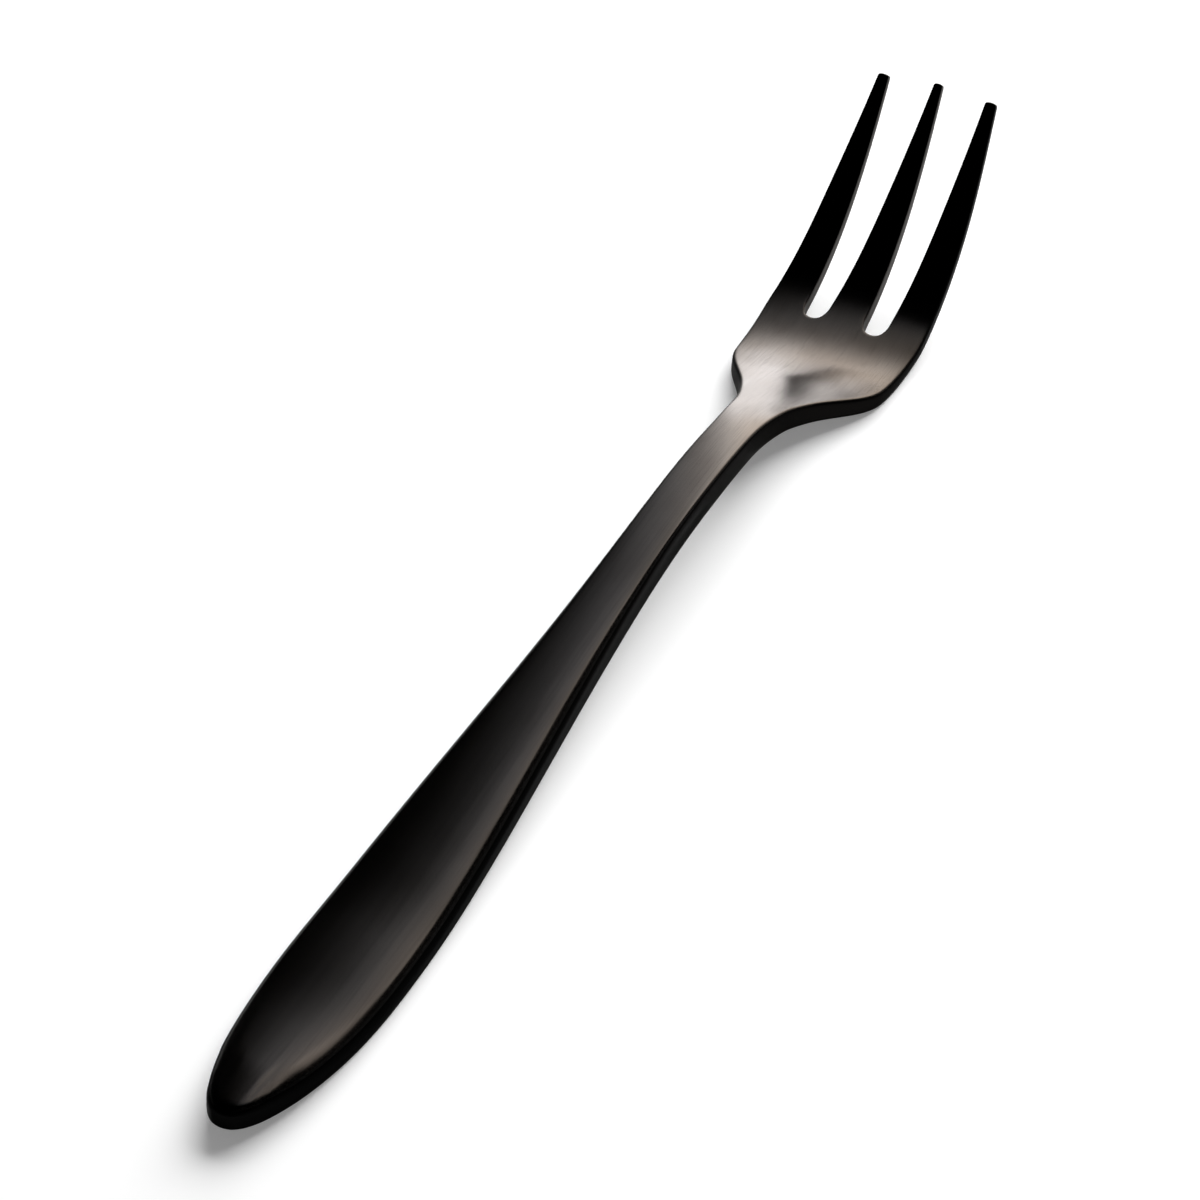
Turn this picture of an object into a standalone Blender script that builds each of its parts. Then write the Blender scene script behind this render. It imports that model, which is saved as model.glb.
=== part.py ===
# Oyster fork: one piece of black-coated steel, blanked flat, drawn thinner at the head, then bent.
# The handle's end is at -X, the tines at +X, and the table is z = 0. Units are metres.
# Places along the fork are lengths of its underside, from the handle's end to the tine tips.

import math

import bmesh
import bpy

# Lengths along the underside, one after another
HANDLE_END_LENGTH = 0.0215
HANDLE_TAPER_LENGTH = 0.0660
NECK_LENGTH = 0.0104
FILLET_LENGTH = 0.0071
FLARE_LENGTH = 0.0040
SHOULDER_LENGTH = 0.0088
PALM_LENGTH = 0.0092
TINE_LENGTH = 0.0295
MIDDLE_TINE_EXTRA = 0.0005

# Widths of the handle and the head
HANDLE_WIDTH = 0.0115
NECK_WIDTH = 0.0048
FILLET_WIDTH = 0.0058
FLARE_WIDTH = 0.0082
SHOULDER_WIDTH = 0.0170

# Widths of the tines and slots at their root, halfway and at the tips
MIDDLE_TINE_ROOT_WIDTH = 0.0044
MIDDLE_TINE_HALFWAY_WIDTH = 0.0030
MIDDLE_TINE_TIP_WIDTH = 0.0010
SLOT_ROOT_WIDTH = 0.0025
SLOT_HALFWAY_WIDTH = 0.0035
SLOT_TIP_WIDTH = 0.0051
OUTER_TINE_ROOT_WIDTH = 0.0043
OUTER_TINE_HALFWAY_WIDTH = 0.0032
OUTER_TINE_TIP_WIDTH = 0.00125
TIP_ROUNDING = 0.0003

# Thicknesses at the sides, how much higher the crowned top is in the middle, and where the crown starts
END_THICKNESS = 0.0023
HANDLE_THICKNESS = 0.00215
NECK_THICKNESS = 0.0030
SHOULDER_THICKNESS = 0.0017
SLOT_ROOT_THICKNESS = 0.0013
TIP_THICKNESS = 0.0009
HANDLE_CROWN = 0.00050
NECK_CROWN = 0.00010
HEAD_CROWN = 0.00015
END_ROLL_LENGTH = 0.0065

# Rounding of the top's edges, wide along the handle and narrow on the tines, and of the underside's
HANDLE_EDGE_RADIUS = 0.00080
HEAD_EDGE_RADIUS = 0.00045
TINE_EDGE_RADIUS = 0.00025
UNDERSIDE_EDGE_RADIUS = 0.00025

# Slopes of the underside in degrees, and the two flat lands that the fork rests on
END_SLOPE = -6.6
RISE_SLOPE = 4.9
TINE_ROOT_SLOPE = 15.0
TINE_HALFWAY_SLOPE = 39.0
TIP_SLOPE = 50.3
HANDLE_LAND_LENGTH = 0.0040
HEAD_LAND_LENGTH = 0.0012
HEAD_LAND_SETBACK = 0.0056
CREST_SETBACK = 0.0044

# Shares of those slopes on the way into and out of each bend
END_CURL_SHARE = 0.76
RISE_ONSET_SHARE = 0.80
DROP_ONSET_SHARE = 0.37
DROP_GROWTH_SHARE = 0.91
DROP_HOLD_SHARE = 0.96

# Exponents of the handle's plan: how full its rounded end is, and how early it tapers
END_FULLNESS = 2.1
TAPER_EARLINESS = 0.94

# Cells of the grid that the blank is cut from
OUTER_CELLS = 3
SLOT_CELLS = 4
MIDDLE_CELLS = 4
END_ROWS = 6
HANDLE_ROWS = 20
HEAD_ROWS = 18
PALM_ROWS = 4
TINE_ROWS = 16
EDGE_SEGMENTS = 3
END_CORNER_SHARE = 0.62
SLOT_LEAD_SHARE = 0.35

# Room that the grid leaves beside the rims, in radii of their rounding: most just after the round end
EDGE_ROOM = 1.15
END_ROOM = 2.00
END_ROOM_SETBACK = 0.0018

# Fineness of the bent line, and the angle that counts as an edge
LINE_STEPS = 4000
SETTLING_PASSES = 12
RIM_ANGLE = math.radians(50)

# Places along the underside
WIDEST = HANDLE_END_LENGTH
NECK = WIDEST + HANDLE_TAPER_LENGTH
FILLET_START = NECK + NECK_LENGTH
FILLET = FILLET_START + FILLET_LENGTH
FLARE = FILLET + FLARE_LENGTH
SHOULDER = FLARE + SHOULDER_LENGTH
SLOT_END = SHOULDER + PALM_LENGTH
TIP = SLOT_END + TINE_LENGTH
HALFWAY = (SLOT_END + TIP) / 2
CREST = FILLET_START - CREST_SETBACK
HEAD_LAND_END = SLOT_END - HEAD_LAND_SETBACK
HEAD_LAND_START = HEAD_LAND_END - HEAD_LAND_LENGTH
HANDLE_LAND_START = WIDEST - HANDLE_LAND_LENGTH / 2
HANDLE_LAND_END = WIDEST + HANDLE_LAND_LENGTH / 2
ROOT_WIDTH = MIDDLE_TINE_ROOT_WIDTH + 2 * SLOT_ROOT_WIDTH + 2 * OUTER_TINE_ROOT_WIDTH


def steady_curve(stations):
    # A smooth curve through (place, value) pairs that never swings past them.
    places = [place for place, _ in stations]
    values = [value for _, value in stations]
    steps = [after - before for before, after in zip(places, places[1:])]
    rates = [(after - before) / step for before, after, step in zip(values, values[1:], steps)]
    tangents = [rates[0]]
    for before, after in zip(rates, rates[1:]):
        tangents.append(2 * before * after / (before + after) if before * after > 0 else 0.0)
    tangents.append(rates[-1])

    def value_at(place):
        index = 0
        while index < len(steps) - 1 and place > places[index + 1]:
            index += 1
        step = steps[index]
        t = min(max((place - places[index]) / step, 0.0), 1.0)
        rise = t * t * (3 - 2 * t)
        lead = t * (1 - t) ** 2 * step * tangents[index]
        trail = t * t * (t - 1) * step * tangents[index + 1]
        return values[index] + (values[index + 1] - values[index]) * rise + lead + trail

    return value_at


middle_tine_width = steady_curve([(SLOT_END, MIDDLE_TINE_ROOT_WIDTH),
                                  (HALFWAY, MIDDLE_TINE_HALFWAY_WIDTH),
                                  (TIP, MIDDLE_TINE_TIP_WIDTH)])
slot_width = steady_curve([(SLOT_END, SLOT_ROOT_WIDTH),
                           (HALFWAY, SLOT_HALFWAY_WIDTH),
                           (TIP, SLOT_TIP_WIDTH)])
outer_tine_width = steady_curve([(SLOT_END, OUTER_TINE_ROOT_WIDTH),
                                 (HALFWAY, OUTER_TINE_HALFWAY_WIDTH),
                                 (TIP, OUTER_TINE_TIP_WIDTH)])
head_width = steady_curve([(NECK, NECK_WIDTH),
                           (FILLET_START, NECK_WIDTH),
                           (FILLET, FILLET_WIDTH),
                           (FLARE, FLARE_WIDTH),
                           (SHOULDER, SHOULDER_WIDTH),
                           (SLOT_END, ROOT_WIDTH)])
edge_thickness = steady_curve([(0.0, END_THICKNESS),
                               (WIDEST, HANDLE_THICKNESS),
                               (NECK, NECK_THICKNESS),
                               (SHOULDER, SHOULDER_THICKNESS),
                               (SLOT_END, SLOT_ROOT_THICKNESS),
                               (TIP, TIP_THICKNESS)])
crown_height = steady_curve([(0.0, HANDLE_CROWN),
                             (WIDEST, HANDLE_CROWN),
                             (NECK, NECK_CROWN),
                             (SHOULDER, HEAD_CROWN),
                             (SLOT_END, HEAD_CROWN),
                             (TIP, 0.0)])
edge_radius = steady_curve([(0.0, HANDLE_EDGE_RADIUS),
                            (NECK, HANDLE_EDGE_RADIUS),
                            (SHOULDER, HEAD_EDGE_RADIUS),
                            (SLOT_END, TINE_EDGE_RADIUS),
                            (TIP, TINE_EDGE_RADIUS)])


def half_width(place):
    # The blank's half-width: a rounded end, an eased taper, the S of the shoulders, the tines.
    if place <= WIDEST:
        return HANDLE_WIDTH / 2 * (1 - (1 - place / WIDEST) ** 2) ** (1 / END_FULLNESS)
    if place <= NECK:
        eased = ((place - WIDEST) / HANDLE_TAPER_LENGTH) ** TAPER_EARLINESS
        swell = (1 + math.cos(math.pi * eased)) / 2
        return (NECK_WIDTH + (HANDLE_WIDTH - NECK_WIDTH) * swell) / 2
    if place <= SLOT_END:
        return head_width(place) / 2
    return middle_tine_width(place) / 2 + slot_width(place) + outer_tine_width(place)


def rounded_end_place(offset):
    # Where the handle's rounded end is as wide as twice the offset.
    full = (2 * abs(offset) / HANDLE_WIDTH) ** END_FULLNESS
    return WIDEST * (1 - math.sqrt(1 - full))


END_CORNER = rounded_end_place(END_CORNER_SHARE * HANDLE_WIDTH / 2)
edge_room = steady_curve([(END_CORNER, EDGE_ROOM),
                          (END_CORNER + END_ROOM_SETBACK, END_ROOM),
                          (WIDEST, EDGE_ROOM)])


def slope_curve(drop):
    return steady_curve([(0.0, END_SLOPE),
                         (HANDLE_LAND_START / 2, END_SLOPE * END_CURL_SHARE),
                         (HANDLE_LAND_START, 0.0),
                         (HANDLE_LAND_END, 0.0),
                         (HANDLE_LAND_END + HANDLE_LAND_START / 2, RISE_SLOPE * RISE_ONSET_SHARE),
                         (HANDLE_LAND_END + HANDLE_LAND_START, RISE_SLOPE),
                         (NECK - NECK_LENGTH, RISE_SLOPE),
                         (CREST, 0.0),
                         (FILLET_START, -drop * DROP_ONSET_SHARE),
                         (FILLET, -drop * DROP_GROWTH_SHARE),
                         (FLARE, -drop),
                         (SHOULDER - FLARE_LENGTH / 2, -drop * DROP_HOLD_SHARE),
                         (HEAD_LAND_START, 0.0),
                         (HEAD_LAND_END, 0.0),
                         (SLOT_END, TINE_ROOT_SLOPE),
                         (HALFWAY, TINE_HALFWAY_SLOPE),
                         (TIP + MIDDLE_TINE_EXTRA, TIP_SLOPE)])


def underside_line(drop):
    # Points (x, z, slope) of the bent underside, evenly spaced along its length.
    slope_at = slope_curve(drop)
    step = (TIP + MIDDLE_TINE_EXTRA) / LINE_STEPS
    x, z = 0.0, 0.0
    line = []
    for index in range(LINE_STEPS + 1):
        line.append((x, z, math.radians(slope_at(index * step))))
        halfway = math.radians(slope_at((index + 0.5) * step))
        x += step * math.cos(halfway)
        z += step * math.sin(halfway)
    return line


def line_point(line, place):
    along = min(max(place / (TIP + MIDDLE_TINE_EXTRA), 0.0), 1.0) * LINE_STEPS
    index = min(int(along), LINE_STEPS - 1)
    share = along - index
    return [a + (b - a) * share for a, b in zip(line[index], line[index + 1])]


def settled_line():
    # The drop of the neck that brings both lands down to the table.
    drop = 3 * RISE_SLOPE
    for _ in range(SETTLING_PASSES):
        line = underside_line(drop)
        handle_z = line_point(line, WIDEST)[1]
        crest_z = line_point(line, CREST)[1]
        head_z = line_point(line, HEAD_LAND_START)[1]
        drop *= (crest_z - handle_z) / (crest_z - head_z)
    handle_z = line_point(line, WIDEST)[1]
    return [(x, z - handle_z, slope) for x, z, slope in line]


def row_places():
    # Rows of the grid, with one at each end of both lands and one at the centre of the slots' ends.
    centre = SLOT_END + SLOT_ROOT_WIDTH / 2
    stretches = [(END_CORNER, HANDLE_LAND_START, END_ROWS),
                 (HANDLE_LAND_START, HANDLE_LAND_END, 1),
                 (HANDLE_LAND_END, NECK, HANDLE_ROWS),
                 (NECK, HEAD_LAND_START, HEAD_ROWS),
                 (HEAD_LAND_START, HEAD_LAND_END, 1),
                 (HEAD_LAND_END, centre, PALM_ROWS),
                 (centre, TIP, TINE_ROWS)]
    places = [END_CORNER]
    for start, end, count in stretches:
        places += [start + (end - start) * (index + 1) / count for index in range(count)]
    return places


def column_offsets(place):
    # Offsets of the grid's lines across the fork: outer tine, slot, middle tine, slot, outer tine.
    root = max(place, SLOT_END)
    scale = half_width(place) / half_width(root)
    inner = middle_tine_width(root) / 2 * scale
    outer = inner + slot_width(root) * scale
    edge = half_width(place)
    first = edge - max((edge - outer) / OUTER_CELLS, edge_radius(place) * edge_room(place))
    cells = OUTER_CELLS - 1
    side = [edge] + [first + (outer - first) * index / cells for index in range(cells)]
    middle, reach = (outer + inner) / 2, (outer - inner) / 2
    slot = [middle + reach * math.cos(math.pi * index / SLOT_CELLS) for index in range(SLOT_CELLS)]
    half = [inner * (1 - 2 * index / MIDDLE_CELLS) for index in range(MIDDLE_CELLS // 2)]
    left = side + slot + half
    return left + [0.0] + [-offset for offset in reversed(left)]


def is_slot(column):
    # Whether the cell at this column, counted from the left edge, is in a slot.
    from_left = column - OUTER_CELLS
    from_right = column - OUTER_CELLS - SLOT_CELLS - MIDDLE_CELLS
    return 0 <= from_left < SLOT_CELLS or 0 <= from_right < SLOT_CELLS


def slot_end_shift(row_share, column, offsets):
    # Draws the row at the slots' root back along a half circle, and the row before it less far.
    first = OUTER_CELLS if column < len(offsets) // 2 else OUTER_CELLS + SLOT_CELLS + MIDDLE_CELLS
    if not first < column < first + SLOT_CELLS:
        return 0.0
    radius = abs(offsets[first] - offsets[first + SLOT_CELLS]) / 2
    middle = (offsets[first] + offsets[first + SLOT_CELLS]) / 2
    reach = math.sqrt(max(radius ** 2 - (offsets[column] - middle) ** 2, 0.0))
    return -reach * row_share


def tip_shift(column, columns, row_share):
    # Rounds the corners of each tine's end, and makes the middle tine longer.
    tines = [(0, OUTER_CELLS),
             (OUTER_CELLS + SLOT_CELLS, OUTER_CELLS + SLOT_CELLS + MIDDLE_CELLS),
             (columns - OUTER_CELLS, columns)]
    for number, (first, last) in enumerate(tines):
        if first <= column <= last:
            across = 2 * (column - first) / (last - first) - 1
            longer = MIDDLE_TINE_EXTRA if number == 1 else 0.0
            return longer * row_share - TIP_ROUNDING * across ** 4 * (row_share == 1.0)
    return 0.0


def flat_blank():
    # The blank as a flat grid of faces in x and y, without the slots' faces.
    blank = bmesh.new()
    places = row_places()
    root_row = len(places) - 1 - TINE_ROWS
    corner_offset = END_CORNER_SHARE * HANDLE_WIDTH / 2
    grid = []
    for row, place in enumerate(places):
        offsets = column_offsets(place)
        columns = len(offsets) - 1
        end_share = max(0.0, 1 - row / END_ROWS)
        slot_share = {0: 1.0, 1: SLOT_LEAD_SHARE}.get(root_row - row, 0.0)
        tine_share = max(0.0, (row - root_row) / TINE_ROWS)
        line = []
        for column, offset in enumerate(offsets):
            end_place = rounded_end_place(offset / offsets[0] * corner_offset)
            start_place = rounded_end_place(offsets[1] / offsets[0] * corner_offset) if row else places[0]
            along = place + min(end_place - start_place, 0.0) * end_share
            along += slot_end_shift(slot_share, column, offsets)
            along += tip_shift(column, columns, tine_share)
            line.append(blank.verts.new((along, offset, 0.0)))
        grid.append(line)
    for row in range(len(grid) - 1):
        for column in range(len(grid[row]) - 1):
            if row >= root_row and is_slot(column):
                continue
            blank.faces.new((grid[row][column], grid[row][column + 1],
                             grid[row + 1][column + 1], grid[row + 1][column]))
    loose = [vertex for vertex in blank.verts if not vertex.link_faces]
    bmesh.ops.delete(blank, geom=loose, context="VERTS")
    return blank


def thicken(blank):
    # Extrudes the blank to its thickness, with the crown on top, which rolls off to the handle's end.
    raised = bmesh.ops.extrude_face_region(blank, geom=blank.faces[:])["geom"]
    for vertex in raised:
        if isinstance(vertex, bmesh.types.BMVert):
            along, offset = vertex.co.x, abs(vertex.co.y)
            edge = half_width(along)
            share = offset / edge if offset < edge else 1.0
            roll = max(1 - along / END_ROLL_LENGTH, 0.0)
            crown = crown_height(along) * (1 - share ** 2) * (1 - roll ** 2)
            vertex.co.z = edge_thickness(along) + crown
    bmesh.ops.recalc_face_normals(blank, faces=blank.faces[:])


def mark_rims(blank):
    # Gives the edges round the outline and the slots, top and bottom, their share of the rounding.
    weights = blank.edges.layers.float.new("bevel_weight_edge")
    for edge in blank.edges:
        start, end = [vertex.co for vertex in edge.verts]
        upright = abs(start.z - end.z) > TINE_EDGE_RADIUS
        if edge.calc_face_angle(0.0) > RIM_ANGLE and not upright:
            on_top = start.z > 0
            radius = edge_radius((start.x + end.x) / 2) if on_top else UNDERSIDE_EDGE_RADIUS
            edge[weights] = radius / HANDLE_EDGE_RADIUS


def round_rims(fork):
    # Rounds the marked edges by their shares of the widest radius.
    bevel = fork.modifiers.new("rounded_rims", "BEVEL")
    bevel.limit_method = "WEIGHT"
    bevel.width = HANDLE_EDGE_RADIUS
    bevel.segments = EDGE_SEGMENTS
    bevel.use_clamp_overlap = False


def bend(blank):
    # Bends the flat fork along its underside line.
    line = settled_line()
    for vertex in blank.verts:
        x, z, slope = line_point(line, vertex.co.x)
        height = vertex.co.z
        vertex.co.x = x - math.sin(slope) * height
        vertex.co.z = z + math.cos(slope) * height


def centre(fork):
    # Puts the middle of the rounded fork's length over the origin.
    rounded = fork.evaluated_get(bpy.context.evaluated_depsgraph_get())
    ends = [vertex.co.x for vertex in rounded.data.vertices]
    fork.location.x = -(min(ends) + max(ends)) / 2


def black_steel():
    material = bpy.data.materials.new("black_steel")
    material.use_nodes = True
    shader = material.node_tree.nodes["Principled BSDF"]
    shader.inputs["Base Color"].default_value = (0.045, 0.042, 0.040, 1.0)
    shader.inputs["Metallic"].default_value = 1.0
    shader.inputs["Roughness"].default_value = 0.32
    return material


def make_fork():
    blank = flat_blank()
    thicken(blank)
    mark_rims(blank)
    bend(blank)
    mesh = bpy.data.meshes.new("fork")
    blank.to_mesh(mesh)
    blank.free()
    mesh.shade_smooth()
    mesh.materials.append(black_steel())
    fork = bpy.data.objects.new("fork", mesh)
    bpy.context.scene.collection.objects.link(fork)
    round_rims(fork)
    centre(fork)


for old in list(bpy.data.objects):
    bpy.data.objects.remove(old)
make_fork()
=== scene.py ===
import math
import bpy
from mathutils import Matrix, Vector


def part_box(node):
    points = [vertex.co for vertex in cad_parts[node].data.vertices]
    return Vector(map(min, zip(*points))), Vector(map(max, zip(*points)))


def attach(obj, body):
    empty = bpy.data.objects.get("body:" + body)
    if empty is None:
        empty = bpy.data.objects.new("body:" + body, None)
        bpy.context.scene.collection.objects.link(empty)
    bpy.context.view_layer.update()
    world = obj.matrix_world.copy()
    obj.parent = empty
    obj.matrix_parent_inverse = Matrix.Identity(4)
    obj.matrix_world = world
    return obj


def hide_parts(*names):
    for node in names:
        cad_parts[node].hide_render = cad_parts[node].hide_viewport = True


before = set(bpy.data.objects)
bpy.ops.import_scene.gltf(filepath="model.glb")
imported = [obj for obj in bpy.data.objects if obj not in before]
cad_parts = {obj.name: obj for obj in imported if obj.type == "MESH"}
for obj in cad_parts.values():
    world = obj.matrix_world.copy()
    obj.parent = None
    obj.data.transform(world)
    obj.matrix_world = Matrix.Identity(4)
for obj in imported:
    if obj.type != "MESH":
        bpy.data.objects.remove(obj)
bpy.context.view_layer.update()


class Wire:  # one socket of a node tree, with the sums that the shaders use
    def __init__(self, tree, socket=None):
        self.tree = tree
        self.socket = socket

    def node(self, kind, settings, inputs, output=0):
        made = self.tree.nodes.new(kind)
        for name, value in settings.items():
            setattr(made, name, value)
        for name, value in inputs.items():
            if isinstance(value, Wire):
                self.tree.links.new(value.socket, made.inputs[name])
            else:
                made.inputs[name].default_value = value
        return Wire(self.tree, made.outputs[output]) if made.outputs else made

    def other(self, output):  # another output of the same node
        return Wire(self.tree, self.socket.node.outputs[output])

    def combine(self, operation, first, second):
        return self.node("ShaderNodeMath", {"operation": operation}, {0: first, 1: second})

    def __add__(self, other):
        return self.combine("ADD", self, other)

    def __radd__(self, other):
        return self.combine("ADD", other, self)

    def __sub__(self, other):
        return self.combine("SUBTRACT", self, other)

    def __rsub__(self, other):
        return self.combine("SUBTRACT", other, self)

    def __mul__(self, other):
        return self.combine("MULTIPLY", self, other)

    def __rmul__(self, other):
        return self.combine("MULTIPLY", other, self)

    def __truediv__(self, other):
        return self.combine("DIVIDE", self, other)

    def __rtruediv__(self, other):
        return self.combine("DIVIDE", other, self)

    def __abs__(self):
        return self.node("ShaderNodeMath", {"operation": "ABSOLUTE"}, {0: self})

    def power(self, exponent):
        return self.combine("POWER", self, exponent)

    def exp(self):
        return self.node("ShaderNodeMath", {"operation": "EXPONENT"}, {0: self})

    def ease(self, low, high):  # 0 below low, 1 above high, smooth between
        return self.node("ShaderNodeMapRange", {"interpolation_type": "SMOOTHSTEP"},
                         {"Value": self, "From Min": low, "From Max": high})

    def mix(self, factor, first, second, blend="MIX"):  # sockets 6 and 7 take colours, output 2 gives one
        return self.node("ShaderNodeMix", {"data_type": "RGBA", "blend_type": blend},
                         {"Factor": factor, 6: first, 7: second}, 2)


def cleanTree(owner):
    owner.use_nodes = True
    owner.node_tree.nodes.clear()
    return Wire(owner.node_tree)


def startMesh(name):  # names the primitive just added and hands it over
    piece = bpy.context.object
    piece.name = name
    piece.data.name = name
    return piece


def startSelecting(kind):  # edit mode with nothing selected
    bpy.ops.object.mode_set(mode="EDIT")
    bpy.ops.mesh.select_mode(type=kind)
    bpy.ops.mesh.select_all(action="DESELECT")


def applyModifier(piece, kind, settings):
    modifier = piece.modifiers.new(kind.lower(), kind)
    for name, value in settings.items():
        setattr(modifier, name, value)
    bpy.ops.object.modifier_apply(modifier=modifier.name)


# Fork: a flat blank, thickened, rounded and bent. Lengths are metres along the underside.
forkSizes = {
    "handleEnd": 0.0215, "handleTaper": 0.0660, "neck": 0.0104, "fillet": 0.0071,  # stretches, end to tips
    "flare": 0.0040, "shoulder": 0.0088, "palm": 0.0092, "tine": 0.0294, "middleTineExtra": 0.0005,
    "handleWidth": 0.0115, "neckWidth": 0.0048, "filletWidth": 0.0058,
    "flareWidth": 0.0082, "shoulderWidth": 0.0170,
    "endFullness": 2.1, "taperEarliness": 0.94,  # powers that shape the handle's plan
    "middleTine": (0.0044, 0.0030, 0.0010),  # widths at the root, halfway and at the tip
    "slot": (0.0025, 0.0035, 0.0051),
    "outerTine": (0.0043, 0.0032, 0.00125),
    "slotReach": 0.0005, "slotLead": 0.35,  # extra depth of the slots, and how far the next row follows
    "tipRounding": 0.0001, "tipSquareness": 4, "tipHold": 0.0003,
    "endThickness": 0.0023, "handleThickness": 0.00215, "neckThickness": 0.0030,  # height of the walls
    "shoulderThickness": 0.0017, "slotRootThickness": 0.0013, "tipThickness": 0.0009,
    "handleCrown": 0.00050, "neckCrown": 0.00010, "flareCrown": 0.00029, "headCrown": 0.00046,
    "endRoll": 0.0065,  # the crown fades away over this much of the handle's end
    "handleRimFall": 0.00018, "neckRimFall": 0.00008, "rimFallPower": 8,  # extra fall next to the rims
    "handleEdge": 0.00080, "neckEdge": 0.00030, "headEdge": 0.00040,  # rounding of the top's rims
    "tineEdge": 0.00025, "tipEdge": 0.00012, "undersideEdge": 0.00025,
    "edgeSegments": 4, "sharpAngle": 50,
    "edgeRoom": 1.15, "endRoom": 2.0, "endRoomSetback": 0.0018,  # width of the outermost cells, in roundings
    "endCorner": 0.62,  # where the handle's end turns into its sides, as a share of its half width
    "cornerReach": 0.0024, "cornerPasses": 8, "cornerEasing": 0.5,
    "endSlope": -6.6, "riseSlope": 4.9,  # degrees
    "tineRootSlope": 13.5, "tineHalfwaySlope": 39.4, "tipSlope": 50.5,
    "handleLand": 0.0040, "headRestSetback": 0.0061,
    "crestLead": 0.0150, "crestSetback": 0.0075, "holdSetback": 0.0048, "easeSetback": 0.0016,
    "endCurl": 0.76, "riseOnset": 0.80,  # shares of the end's and the rise's slopes
    "dropOnset": 0.27, "dropGrowth": 0.91, "dropHold": 0.965, "dropEase": 0.615,  # and of the drop's
    "dropGuess": 3, "settlingPasses": 12, "lineSteps": 4000,  # for finding the drop
    "outerCells": 3, "slotCells": 6, "middleCells": 3,
    "endRows": 10, "landRows": 2, "handleRows": 36, "headRows": 34, "palmRows": 5, "tineRows": 25,
    "farAway": 100,  # of the texture space
}
at = {"widest": forkSizes["handleEnd"]}  # places along the underside
at["neck"] = at["widest"] + forkSizes["handleTaper"]
at["filletStart"] = at["neck"] + forkSizes["neck"]
at["fillet"] = at["filletStart"] + forkSizes["fillet"]
at["flare"] = at["fillet"] + forkSizes["flare"]
at["shoulder"] = at["flare"] + forkSizes["shoulder"]
at["slotEnd"] = at["shoulder"] + forkSizes["palm"]
at["tip"] = at["slotEnd"] + forkSizes["tine"]
at["halfway"] = (at["slotEnd"] + at["tip"]) / 2
at["last"] = at["tip"] + forkSizes["middleTineExtra"]
at["crest"] = at["filletStart"] - forkSizes["crestSetback"]
at["headRest"] = at["slotEnd"] - forkSizes["headRestSetback"]
at["handleLandStart"] = at["widest"] - forkSizes["handleLand"] / 2
at["handleLandEnd"] = at["widest"] + forkSizes["handleLand"] / 2


def steadyCurve(stations):  # smooth through (place, value) pairs, never swinging past them
    places, values = zip(*stations)
    steps = [after - before for before, after in zip(places, places[1:])]
    rates = [(after - before) / step for before, after, step in zip(values, values[1:], steps)]
    tangents = [rates[0]]
    for before, after in zip(rates, rates[1:]):
        tangents.append(2 * before * after / (before + after) if before * after > 0 else 0.0)
    tangents.append(rates[-1])

    def valueAt(place):
        index = 0
        while index < len(steps) - 1 and place > places[index + 1]:
            index += 1
        step = steps[index]
        t = min(max((place - places[index]) / step, 0.0), 1.0)
        rise = t * t * (3 - 2 * t)
        lead = t * (1 - t) ** 2 * step * tangents[index]
        trail = t * t * (t - 1) * step * tangents[index + 1]
        return values[index] + (values[index + 1] - values[index]) * rise + lead + trail

    return valueAt


def tineCurve(widths):
    return steadyCurve(list(zip((at["slotEnd"], at["halfway"], at["tip"]), widths)))


middleTineWidth = tineCurve(forkSizes["middleTine"])
slotWidth = tineCurve(forkSizes["slot"])
outerTineWidth = tineCurve(forkSizes["outerTine"])
rootWidth = forkSizes["middleTine"][0] + 2 * forkSizes["slot"][0] + 2 * forkSizes["outerTine"][0]
headWidth = steadyCurve([(at["neck"], forkSizes["neckWidth"]),
                         (at["filletStart"], forkSizes["neckWidth"]),
                         (at["fillet"], forkSizes["filletWidth"]),
                         (at["flare"], forkSizes["flareWidth"]),
                         (at["shoulder"], forkSizes["shoulderWidth"]),
                         (at["slotEnd"], rootWidth)])
edgeThickness = steadyCurve([(0.0, forkSizes["endThickness"]),
                             (at["widest"], forkSizes["handleThickness"]),
                             (at["neck"], forkSizes["neckThickness"]),
                             (at["shoulder"], forkSizes["shoulderThickness"]),
                             (at["slotEnd"], forkSizes["slotRootThickness"]),
                             (at["tip"], forkSizes["tipThickness"])])
crownHeight = steadyCurve([(0.0, forkSizes["handleCrown"]),
                           (at["widest"], forkSizes["handleCrown"]),
                           (at["neck"], forkSizes["neckCrown"]),
                           (at["flare"], forkSizes["flareCrown"]),
                           (at["shoulder"], forkSizes["headCrown"]),
                           (at["slotEnd"], forkSizes["headCrown"]),
                           (at["tip"], 0.0)])
rimFall = steadyCurve([(0.0, forkSizes["handleRimFall"]),
                       (at["widest"], forkSizes["handleRimFall"]),
                       (at["neck"], forkSizes["neckRimFall"]),
                       (at["flare"], 0.0)])
edgeRounding = steadyCurve([(0.0, forkSizes["handleEdge"]),
                            ((at["widest"] + at["neck"]) / 2, forkSizes["handleEdge"]),
                            (at["neck"], forkSizes["neckEdge"]),
                            (at["shoulder"], forkSizes["headEdge"]),
                            (at["slotEnd"], forkSizes["tineEdge"]),
                            (at["tip"], forkSizes["tipEdge"])])


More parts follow.
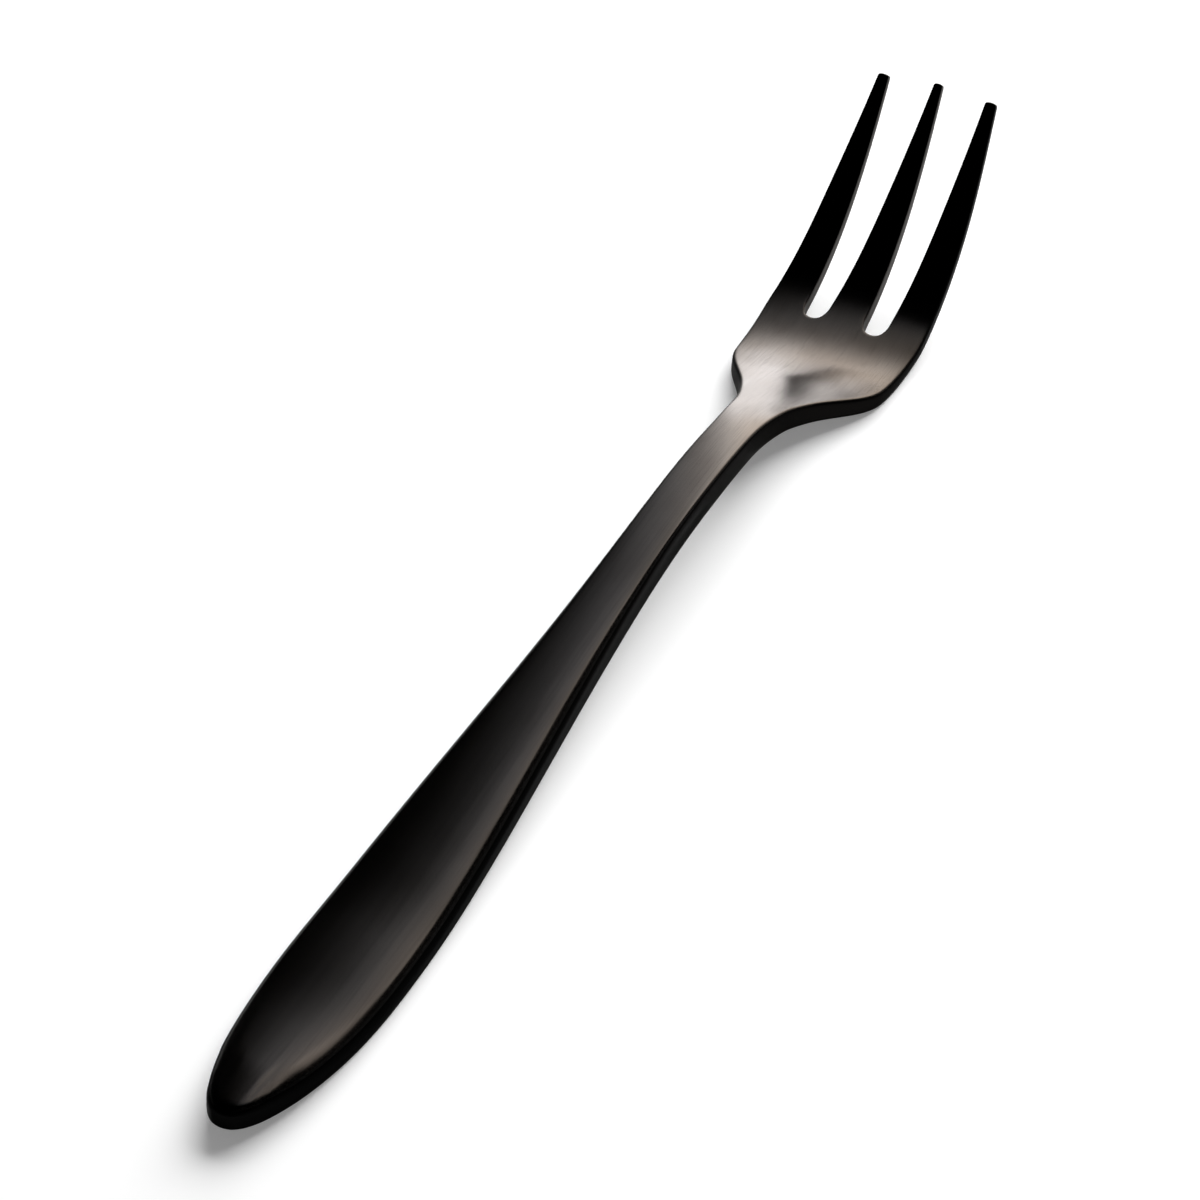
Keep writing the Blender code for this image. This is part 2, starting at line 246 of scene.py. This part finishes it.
def halfWidth(place):  # rounded end, eased taper, S of the shoulders, tines
    if place <= at["widest"]:
        swell = (1 - (1 - place / at["widest"]) ** 2) ** (1 / forkSizes["endFullness"])
        return forkSizes["handleWidth"] / 2 * swell
    if place <= at["neck"]:
        eased = ((place - at["widest"]) / forkSizes["handleTaper"]) ** forkSizes["taperEarliness"]
        swell = (1 + math.cos(math.pi * eased)) / 2
        return (forkSizes["neckWidth"] + (forkSizes["handleWidth"] - forkSizes["neckWidth"]) * swell) / 2
    if place <= at["slotEnd"]:
        return headWidth(place) / 2
    return middleTineWidth(place) / 2 + slotWidth(place) + outerTineWidth(place)


def roundedEndPlace(offset):  # where the handle's round end is this far from the middle
    full = (2 * abs(offset) / forkSizes["handleWidth"]) ** forkSizes["endFullness"]
    return at["widest"] * (1 - math.sqrt(1 - full))


cornerOffset = forkSizes["endCorner"] * forkSizes["handleWidth"] / 2
at["endCorner"] = roundedEndPlace(cornerOffset)
edgeRoom = steadyCurve([(at["endCorner"], forkSizes["edgeRoom"]),
                        (at["endCorner"] + forkSizes["endRoomSetback"], forkSizes["endRoom"]),
                        (at["widest"], forkSizes["edgeRoom"])])


def slopeCurve(drop):  # degrees along the underside, for a neck that drops this steeply
    landStart, landEnd = at["handleLandStart"], at["handleLandEnd"]
    return steadyCurve([(0.0, forkSizes["endSlope"]),
                        (landStart / 2, forkSizes["endSlope"] * forkSizes["endCurl"]),
                        (landStart, 0.0),
                        (landEnd, 0.0),
                        (landEnd + landStart / 2, forkSizes["riseSlope"] * forkSizes["riseOnset"]),
                        (landEnd + landStart, forkSizes["riseSlope"]),
                        (at["neck"] - forkSizes["crestLead"], forkSizes["riseSlope"]),
                        (at["crest"], 0.0),
                        (at["filletStart"], -drop * forkSizes["dropOnset"]),
                        (at["fillet"], -drop * forkSizes["dropGrowth"]),
                        (at["flare"], -drop),
                        (at["shoulder"] - forkSizes["holdSetback"], -drop * forkSizes["dropHold"]),
                        (at["shoulder"] - forkSizes["easeSetback"], -drop * forkSizes["dropEase"]),
                        (at["headRest"], 0.0),
                        (at["slotEnd"], forkSizes["tineRootSlope"]),
                        (at["halfway"], forkSizes["tineHalfwaySlope"]),
                        (at["last"], forkSizes["tipSlope"])])


def undersideLine(drop):  # (x, z, slope) of the bent underside, evenly spaced
    slopeAt = slopeCurve(drop)
    step = at["last"] / forkSizes["lineSteps"]
    x, z = 0.0, 0.0
    line = []
    for index in range(forkSizes["lineSteps"] + 1):
        line.append((x, z, math.radians(slopeAt(index * step))))
        slope = math.radians(slopeAt((index + 0.5) * step))
        x += step * math.cos(slope)
        z += step * math.sin(slope)
    return line


def linePoint(line, place):
    along = min(max(place / at["last"], 0.0), 1.0) * forkSizes["lineSteps"]
    index = min(int(along), forkSizes["lineSteps"] - 1)
    share = along - index
    return [a + (b - a) * share for a, b in zip(line[index], line[index + 1])]


def settledLine():  # finds the drop of the neck that rests the head as low as the handle
    drop = forkSizes["dropGuess"] * forkSizes["riseSlope"]
    for _ in range(forkSizes["settlingPasses"]):
        line = undersideLine(drop)
        handleZ = linePoint(line, at["widest"])[1]
        crestZ = linePoint(line, at["crest"])[1]
        headZ = linePoint(line, at["headRest"])[1]
        drop *= (crestZ - handleZ) / (crestZ - headZ)
    return [(x, z - handleZ, slope) for x, z, slope in line]


def rowPlaces():  # rows of the grid, with one at the slots' ends and one close to the tips
    centre = at["slotEnd"] + forkSizes["slot"][0] / 2 - forkSizes["slotReach"]
    stretches = [(at["endCorner"], at["handleLandStart"], forkSizes["endRows"]),
                 (at["handleLandStart"], at["handleLandEnd"], forkSizes["landRows"]),
                 (at["handleLandEnd"], at["neck"], forkSizes["handleRows"]),
                 (at["neck"], at["headRest"], forkSizes["headRows"]),
                 (at["headRest"], centre, forkSizes["palmRows"]),
                 (centre, at["tip"] - forkSizes["tipHold"], forkSizes["tineRows"] - 1),
                 (at["tip"] - forkSizes["tipHold"], at["tip"], 1)]
    places = [at["endCorner"]]
    for start, end, count in stretches:
        places += [start + (end - start) * (index + 1) / count for index in range(count)]
    return places


outerCells, slotCells = forkSizes["outerCells"], forkSizes["slotCells"]
middleCells = forkSizes["middleCells"]
slotStarts = (outerCells, outerCells + slotCells + middleCells)  # first column of each slot
columnCount = 2 * (outerCells + slotCells) + middleCells
tineSpans = ((0, outerCells),
             (outerCells + slotCells, slotStarts[1]),
             (columnCount - outerCells, columnCount))


def columnOffsets(place):  # lines across: outer tine, slot, middle tine, slot, outer tine
    root = max(place, at["slotEnd"])
    edge = halfWidth(place)
    scale = edge / halfWidth(root)
    inner = middleTineWidth(root) / 2 * scale
    outer = inner + slotWidth(root) * scale
    first = edge - max((edge - outer) / outerCells, edgeRounding(place) * edgeRoom(place))
    left = [edge] + [first + (outer - first) * index / (outerCells - 1) for index in range(outerCells - 1)]
    middle, reach = (outer + inner) / 2, (outer - inner) / 2
    left += [middle + reach * math.cos(math.pi * index / slotCells) for index in range(slotCells)]
    across = [inner * (1 - 2 * index / middleCells) for index in range(middleCells + 1)]
    return left + across + [-offset for offset in reversed(left)]


def slotEndShift(share, column, offsets):  # draws a row back along the slots' half-round ends
    for first in slotStarts:
        if first < column < first + slotCells:
            radius = abs(offsets[first] - offsets[first + slotCells]) / 2
            middle = (offsets[first] + offsets[first + slotCells]) / 2
            return -share * math.sqrt(max(radius ** 2 - (offsets[column] - middle) ** 2, 0.0))
    return 0.0


def tipShift(share, column):  # rounds each tine's end, and makes the middle tine longer
    for number, (first, last) in enumerate(tineSpans):
        if first <= column <= last:
            across = 2 * (column - first) / (last - first) - 1
            longer = forkSizes["middleTineExtra"] if number == 1 else 0.0
            rounding = forkSizes["tipRounding"] if share == 1.0 else 0.0
            return longer * share - rounding * across ** forkSizes["tipSquareness"]
    return 0.0


def cutBlank(piece, rootRow, rowCount):  # deletes the faces of the slots from the plain grid
    startSelecting("FACE")
    bpy.ops.object.mode_set(mode="OBJECT")
    for face in piece.data.polygons:
        row = (face.center.x + 0.5) * rowCount
        column = int((0.5 - face.center.y) * columnCount)
        face.select = row > rootRow and any(0 <= column - first < slotCells for first in slotStarts)
    bpy.ops.object.mode_set(mode="EDIT")
    bpy.ops.mesh.delete(type="FACE")
    bpy.ops.object.mode_set(mode="OBJECT")


def drawBlank(piece, places, rootRow):  # draws the grid's lines out to the fork's plan
    offsetsOf = [columnOffsets(place) for place in places]
    for vertex in piece.data.vertices:
        row = round((vertex.co.x + 0.5) * (len(places) - 1))
        column = round((0.5 - vertex.co.y) * columnCount)
        offsets = offsetsOf[row]
        endShare = max(0.0, 1 - row / forkSizes["endRows"])
        slotShare = {0: 1.0, 1: forkSizes["slotLead"]}.get(rootRow - row, 0.0)
        tineShare = max(0.0, (row - rootRow) / forkSizes["tineRows"])
        endPlace = roundedEndPlace(offsets[column] / offsets[0] * cornerOffset)
        startPlace = roundedEndPlace(offsets[1] / offsets[0] * cornerOffset) if row else places[0]
        along = places[row] + min(endPlace - startPlace, 0.0) * endShare
        along += slotEndShift(slotShare, column, offsets) + tipShift(tineShare, column)
        vertex.co = (along, offsets[column], 0.0)


def thickenBlank(piece):  # extrudes the plan, then gives the top its crown and the fall to its rims
    bpy.ops.object.mode_set(mode="EDIT")
    bpy.ops.mesh.select_all(action="SELECT")
    bpy.ops.mesh.extrude_region_move(TRANSFORM_OT_translate={"value": (0, 0, forkSizes["tipThickness"])})
    bpy.ops.mesh.select_all(action="SELECT")
    bpy.ops.mesh.normals_make_consistent(inside=False)
    bpy.ops.object.mode_set(mode="OBJECT")
    for vertex in piece.data.vertices:
        if vertex.co.z > 0:
            along, offset, edge = vertex.co.x, abs(vertex.co.y), halfWidth(vertex.co.x)
            share = offset / edge if offset < edge else 1.0
            roll = max(1 - along / forkSizes["endRoll"], 0.0)
            crown = crownHeight(along) * (1 - share ** 2) * (1 - roll ** 2)
            fall = rimFall(along) * share ** forkSizes["rimFallPower"]
            vertex.co.z = edgeThickness(along) + crown - fall


def roundRims(piece):  # bevels the rims, wider on the handle than on the tines
    startSelecting("EDGE")
    bpy.ops.mesh.edges_select_sharp(sharpness=math.radians(forkSizes["sharpAngle"]))
    bpy.ops.object.mode_set(mode="OBJECT")
    mesh = piece.data
    weights = mesh.attributes.new("bevel_weight_edge", "FLOAT", "EDGE")
    for edge in mesh.edges:
        start, end = (mesh.vertices[index].co for index in edge.vertices)
        if edge.select and abs(start.z - end.z) < forkSizes["tineEdge"]:  # leaves out the upright edges
            rounding = edgeRounding((start.x + end.x) / 2) if start.z > 0 else forkSizes["undersideEdge"]
            weights.data[edge.index].value = rounding / forkSizes["handleEdge"]
    applyModifier(piece, "BEVEL", {"limit_method": "WEIGHT", "width": forkSizes["handleEdge"],
                                   "segments": forkSizes["edgeSegments"], "use_clamp_overlap": False})


def markGrain(piece):  # each point's flat place, for the brushing, and how upright the surface is there
    mesh = piece.data
    mesh.attributes.new("grain", "FLOAT_VECTOR", "POINT")
    mesh.attributes.new("wall", "FLOAT", "POINT")
    grain, wall = mesh.attributes["grain"], mesh.attributes["wall"]
    for vertex in mesh.vertices:
        grain.data[vertex.index].vector = vertex.co
        wall.data[vertex.index].value = 1 - abs(vertex.normal.z)


def smoothCorners(piece):  # evens out the two places where the handle's end meets its sides
    startSelecting("VERT")
    bpy.ops.object.mode_set(mode="OBJECT")
    for vertex in piece.data.vertices:
        near = math.hypot(vertex.co.x - at["endCorner"], abs(vertex.co.y) - cornerOffset)
        vertex.select = near < forkSizes["cornerReach"] and vertex.co.z > forkSizes["endThickness"] / 2
    bpy.ops.object.mode_set(mode="EDIT")
    bpy.ops.mesh.vertices_smooth(factor=forkSizes["cornerEasing"], repeat=forkSizes["cornerPasses"])
    bpy.ops.object.mode_set(mode="OBJECT")


def bendFork(piece):  # bends the flat fork along its underside and sets it in the CAD box
    line = settledLine()
    for vertex in piece.data.vertices:
        x, z, slope = linePoint(line, vertex.co.x)
        height = vertex.co.z
        vertex.co.x = x - math.sin(slope) * height
        vertex.co.z = z + math.cos(slope) * height
    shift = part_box("fork")[0].x - min(vertex.co.x for vertex in piece.data.vertices)
    for vertex in piece.data.vertices:
        vertex.co.x += shift


def spreadAcross(piece):  # a far texture space, so that the shader's own tangent runs across the fork
    piece.data.use_auto_texspace = False
    piece.data.texspace_location = (-forkSizes["farAway"], 0, 0)
    piece.data.texspace_size = (1, 1, 1)


def makeFork():
    places = rowPlaces()
    rowCount = len(places) - 1
    rootRow = rowCount - forkSizes["tineRows"]
    bpy.ops.object.select_all(action="DESELECT")
    bpy.ops.mesh.primitive_grid_add(x_subdivisions=rowCount, y_subdivisions=columnCount, size=1)
    piece = startMesh("oysterFork")
    cutBlank(piece, rootRow, rowCount)
    drawBlank(piece, places, rootRow)
    thickenBlank(piece)
    roundRims(piece)
    markGrain(piece)
    applyModifier(piece, "SUBSURF", {"levels": 1, "render_levels": 1})
    smoothCorners(piece)
    bendFork(piece)
    spreadAcross(piece)
    bpy.ops.object.shade_smooth()
    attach(piece, "root")
    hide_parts("fork")
    print("fork:", len(piece.data.polygons), "faces")
    return piece


# Black steel: brushed along the length, rougher on the head, painted shade makes the walls nearly black and
# the head darker, warmer; slots paler by painted reflection.
# Places are metres along the flat fork or across it, and pairs are where a change starts and ends.
blackSteel = {
    # cool is the handle's steel; warm is darker, warmer steel painted onto the head as shade and warm light
    "cool": (0.138, 0.135, 0.133, 1), "warm": (0.081, 0.0755, 0.0705, 1), "headPaintedShade": (0.082, 0.106),
    "cloudScale": (110, 160, 160), "cloudEdges": (0.35, 0.65), "cloudShare": 0.3,
    "streakScale": (90, 9000, 9000), "streakEdges": (0.2, 0.6), "patternDetail": 2.0,
    "streakShade": 0.20, "streakRoughness": 0.04, "streakDepth": 1.5e-6,
    # painted shade: the walls are made nearly black so they don't mirror the white floor, a little lighter
    # towards the head
    "handleWallPaintedShade": (0.002, 0.002, 0.002, 1), "headWallPaintedShade": (0.005, 0.0046, 0.0043, 1),
    "wallShadeHeadward": (0.040, 0.100), "wallStart": (0.05, 0.40),
    # painted reflection: the slots' inner walls are paler, as if catching the floor between the tines
    "slotWallPaintedReflection": (0.075, 0.070, 0.066, 1), "slotStart": (0.122, 0.125), "slotReach": (0.0060, 0.0064),
    "handleRoughness": 0.14, "headRoughness": 0.20, "roughening": (0.075, 0.105), "wallRoughness": 0.30,
    "anisotropy": 1.0, "edgeTint": (0.5, 0.5, 0.5, 1),
}


def steelPattern(grain, scale):  # noise stretched by the scale's three numbers
    place = grain.node("ShaderNodeVectorMath", {"operation": "MULTIPLY"}, {0: grain, 1: scale})
    return grain.node("ShaderNodeTexNoise", {}, {
        "Vector": place, "Scale": 1.0, "Detail": blackSteel["patternDetail"]}, "Fac")


def steelColour(grain, along, streak, wall):
    cloud = steelPattern(grain, blackSteel["cloudScale"]).ease(*blackSteel["cloudEdges"])
    share = blackSteel["cloudShare"]
    # painted shade and warm light: the steel turns darker and warmer from the neck onto the head; the cloud
    # share is random tone
    warmth = along.ease(*blackSteel["headPaintedShade"]) * (1 - share) + cloud * share
    tint = grain.mix(warmth, blackSteel["cool"], blackSteel["warm"])
    shade = streak.ease(*blackSteel["streakEdges"])
    brushed = grain.mix(blackSteel["streakShade"], tint, shade, "MULTIPLY")
    # painted shade on the upright walls and rims, nearly black, a little lighter towards the head
    headward = along.ease(*blackSteel["wallShadeHeadward"])
    paintedWall = grain.mix(headward, blackSteel["handleWallPaintedShade"], blackSteel["headWallPaintedShade"])
    aside = abs(along.other("Y"))
    # painted reflection: paler walls inside the slots
    slotReflectionMask = along.ease(*blackSteel["slotStart"]) * (1 - aside.ease(*blackSteel["slotReach"]))
    paintedWall = grain.mix(slotReflectionMask, paintedWall, blackSteel["slotWallPaintedReflection"])
    return grain.mix(wall, brushed, paintedWall)


def steelRoughness(along, streak, wall):
    rise = blackSteel["headRoughness"] - blackSteel["handleRoughness"]
    face = blackSteel["handleRoughness"] + along.ease(*blackSteel["roughening"]) * rise
    face = face + (streak - 0.5) * blackSteel["streakRoughness"]
    return face * (1 - wall) + wall * blackSteel["wallRoughness"]


def makeBlackSteel():
    material = bpy.data.materials.new("blackSteel")
    tree = cleanTree(material)
    grain = tree.node("ShaderNodeAttribute", {"attribute_name": "grain"}, {}, "Vector")
    along = tree.node("ShaderNodeSeparateXYZ", {}, {"Vector": grain}, "X")
    upright = tree.node("ShaderNodeAttribute", {"attribute_name": "wall"}, {}, "Fac")
    wall = upright.ease(*blackSteel["wallStart"])
    streak = steelPattern(grain, blackSteel["streakScale"])
    bump = tree.node("ShaderNodeBump", {}, {
        "Height": streak, "Strength": 1.0, "Distance": blackSteel["streakDepth"]})
    shader = tree.node("ShaderNodeBsdfPrincipled", {}, {
        "Base Color": steelColour(grain, along, streak, wall),
        "Roughness": steelRoughness(along, streak, wall),
        "Metallic": 1.0, "Normal": bump,
        "Anisotropic": blackSteel["anisotropy"], "Specular Tint": blackSteel["edgeTint"]})
    tree.node("ShaderNodeOutputMaterial", {}, {"Surface": shader})
    print("black steel mixed")
    return material


# Stage: white floor, light panels that only the steel mirrors, and a key lamp and dome for the floor
stage = {
    "floorSize": 8.0, "floorColour": (0.86, 0.86, 0.86, 1), "floorGlow": 0.20,
    "keyTurn": 0, "keyRise": 30, "keyDistance": 1.0, "keySize": 1.1, "keyPower": 28.5,
    "sideTurn": -45, "sideDistance": 0.30, "sideWidth": 0.60, "sideHeight": 0.10, "sideGlow": 0.30,
    "panelTurn": 60, "panelDistance": 0.200, "panelStart": 0.03, "panelWidth": 0.97, "panelHeight": 1.0,
    "panelPale": (0.97, 0.97, 1, 1), "panelWarm": (1, 0.87, 0.75, 1),
    "panelLowGlow": 25, "panelLowReach": 0.095, "panelLowPower": 0.61,  # the bright zone fades upwards
    "panelLowEdge": 0.124, "panelLowLean": 0.345, "panelLowSoftness": 0.012,
    "panelLowEnd": 0.365, "panelLowFade": 0.11,
    "panelLowWarming": (0.05, 0.15), "panelLowWarmDepth": (-0.03, 0.06),
    "panelGlow": 0.73, "panelEdge": 0.070, "panelLean": 0.17, "panelSoftness": 0.017,
    "panelWarmDepth": (0.01, 0.08),
    "domeGlow": 0.09,
}


def makeFloor():  # its glow is only for the camera and the steel, and lights nothing
    bpy.ops.mesh.primitive_plane_add(size=stage["floorSize"])
    floor = startMesh("floor")
    material = bpy.data.materials.new("whiteFloor")
    tree = cleanTree(material)
    matt = tree.node("ShaderNodeBsdfDiffuse", {}, {"Color": stage["floorColour"]})
    seen = tree.node("ShaderNodeLightPath", {}, {}, "Is Camera Ray")
    mirrored = seen.other("Is Glossy Ray")
    glow = tree.node("ShaderNodeEmission", {}, {"Strength": (seen + mirrored) * stage["floorGlow"]})
    shader = tree.node("ShaderNodeAddShader", {}, {0: matt, 1: glow})
    tree.node("ShaderNodeOutputMaterial", {}, {"Surface": shader})
    floor.data.materials.append(material)


def standPanel(name, turn, distance, shift, width, height):  # an upright plane that only the steel mirrors
    turn = math.radians(turn)
    bpy.ops.mesh.primitive_plane_add(size=1)
    panel = startMesh(name)
    panel.scale = (width, height, 1)
    panel.rotation_euler = (math.pi / 2, 0, turn - math.pi / 2)
    bpy.ops.object.transform_apply(location=False, rotation=False, scale=True)
    panel.location = (distance * math.cos(turn) + shift * math.sin(turn),
                      distance * math.sin(turn) - shift * math.cos(turn), height / 2)
    panel.visible_camera = False
    panel.visible_diffuse = False
    panel.visible_shadow = False
    return panel


def insideEdge(depth, softness):  # 1 well inside a soft edge, 0 well outside it
    return 1 / (1 + (depth / -softness).exp())


def panelGlow(strength, warmth):  # pale light that turns warm with warmth
    colour = warmth.mix(warmth, stage["panelPale"], stage["panelWarm"])
    return strength.node("ShaderNodeEmission", {}, {"Strength": strength, "Color": colour})


def makePanel():  # a wide softbox beyond the fork's left: a bright low zone, and a dim one all the way up
    shift = stage["panelStart"] + stage["panelWidth"] / 2
    panel = standPanel("lightPanel", stage["panelTurn"], stage["panelDistance"], shift,
                       stage["panelWidth"], stage["panelHeight"])
    material = bpy.data.materials.new("panelGlow")
    tree = cleanTree(material)
    place = tree.node("ShaderNodeTexCoord", {}, {}, "Object")
    split = tree.node("ShaderNodeSeparateXYZ", {}, {"Vector": place}, "X")
    across = split + shift
    height = split.other("Y") + stage["panelHeight"] / 2
    fall = (height / stage["panelLowReach"]).power(stage["panelLowPower"])
    lowDepth = across - stage["panelLowEdge"] - height * stage["panelLowLean"]
    low = (fall * -1).exp() * stage["panelLowGlow"]
    low = low * insideEdge(lowDepth, stage["panelLowSoftness"])
    low = low * insideEdge(stage["panelLowEnd"] - across, stage["panelLowFade"])
    lowWarmth = height.ease(*stage["panelLowWarming"]) * lowDepth.ease(*stage["panelLowWarmDepth"])
    highDepth = across - stage["panelEdge"] - height * stage["panelLean"]
    high = insideEdge(highDepth, stage["panelSoftness"]) * stage["panelGlow"]
    highWarmth = highDepth.ease(*stage["panelWarmDepth"])
    shader = tree.node("ShaderNodeAddShader", {}, {
        0: panelGlow(low, lowWarmth), 1: panelGlow(high, highWarmth)})
    tree.node("ShaderNodeOutputMaterial", {}, {"Surface": shader})
    panel.data.materials.append(material)


def makeSidePanel():  # a dim low panel to the fork's right, which the top mirrors when seen from its left
    panel = standPanel("sidePanel", stage["sideTurn"], stage["sideDistance"], 0,
                       stage["sideWidth"], stage["sideHeight"])
    material = bpy.data.materials.new("sideGlow")
    tree = cleanTree(material)
    shader = tree.node("ShaderNodeEmission", {}, {"Strength": stage["sideGlow"]})
    tree.node("ShaderNodeOutputMaterial", {}, {"Surface": shader})
    panel.data.materials.append(material)


def makeKey():  # a large soft lamp beyond the tines, which throws the shadow on the floor
    data = bpy.data.lights.new("keyLamp", "AREA")
    data.size = stage["keySize"]
    data.energy = stage["keyPower"]
    lamp = bpy.data.objects.new("keyLamp", data)
    bpy.context.scene.collection.objects.link(lamp)
    turn, rise = math.radians(stage["keyTurn"]), math.radians(stage["keyRise"])
    level = stage["keyDistance"] * math.cos(rise)
    lamp.location = (level * math.cos(turn), level * math.sin(turn), stage["keyDistance"] * math.sin(rise))
    lamp.rotation_euler = (math.pi / 2 - rise, 0, turn + math.pi / 2)
    lamp.visible_camera = False
    lamp.visible_glossy = False


def makeWorld():  # white behind the floor, and a dim dome that lights the floor and stays out of the steel
    world = bpy.data.worlds.new("studio")
    bpy.context.scene.world = world
    tree = cleanTree(world)
    camera = tree.node("ShaderNodeLightPath", {}, {}, "Is Camera Ray")
    strength = camera + (1 - camera) * stage["domeGlow"]
    shader = tree.node("ShaderNodeBackground", {}, {"Color": (1, 1, 1, 1), "Strength": strength})
    tree.node("ShaderNodeOutputWorld", {}, {"Surface": shader})
    world.cycles_visibility.glossy = False


# Camera: at the photograph's angle, with a long lens
cameraPlace = {
    "location": (-0.24637, -0.12359, 0.23829), "elevation": 40.554, "heading": 27.146,
    "lens": 112.56, "sensor": 36,
}


def makeCamera():
    data = bpy.data.cameras.new("camera")
    data.sensor_fit = "HORIZONTAL"
    data.sensor_width = cameraPlace["sensor"]
    data.lens = cameraPlace["lens"]
    camera = bpy.data.objects.new("camera", data)
    bpy.context.scene.collection.objects.link(camera)
    camera.location = cameraPlace["location"]
    camera.rotation_euler = (math.radians(90 - cameraPlace["elevation"]), 0,
                             math.radians(cameraPlace["heading"] - 90))
    bpy.context.scene.camera = camera


oysterFork = makeFork()
oysterFork.data.materials.append(makeBlackSteel())
makeFloor()
makePanel()
makeSidePanel()
makeKey()
makeWorld()
makeCamera()
bpy.context.scene.view_settings.view_transform = "Standard"
print("stage and camera set")
